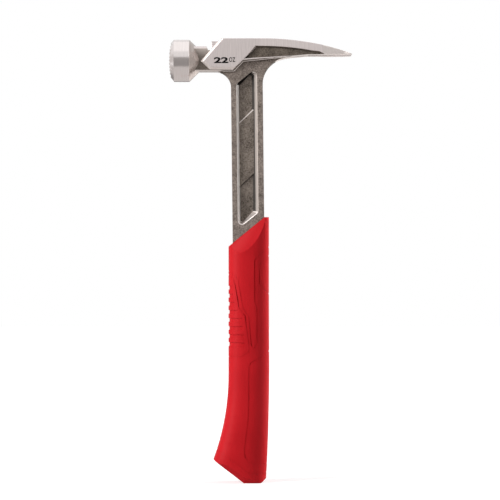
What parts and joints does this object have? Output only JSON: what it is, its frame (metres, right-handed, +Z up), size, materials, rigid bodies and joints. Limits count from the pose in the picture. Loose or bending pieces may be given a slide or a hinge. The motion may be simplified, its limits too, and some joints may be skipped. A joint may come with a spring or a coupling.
{
  "type": "framing hammer",
  "caption": "One-piece steel framing hammer with milled face, magnetic nail set, straight rip claw, I-beam shank and moulded soft grip.",
  "frame": {"origin": "on the centre line, at the flat of the butt", "axes": "+Z up the handle to the head, -X the side of the striking face, +X the side of the claw, Y across the thickness"},
  "size_m": [0.1571, 0.0364, 0.381],
  "materials": {
    "forged_steel": "ground bright on the barrel, cheeks and claw, blasted grey on the neck and shank",
    "magnet": "nickel plated",
    "core_moulding": "matte",
    "red_moulding": "matte, soft moulding"
  },
  "bodies": {
    "root": {"steel_forging": "forged_steel", "nail_set_magnet": "magnet", "grip_core": "core_moulding", "grip_cover": "red_moulding"}
  },
  "joints": []
}
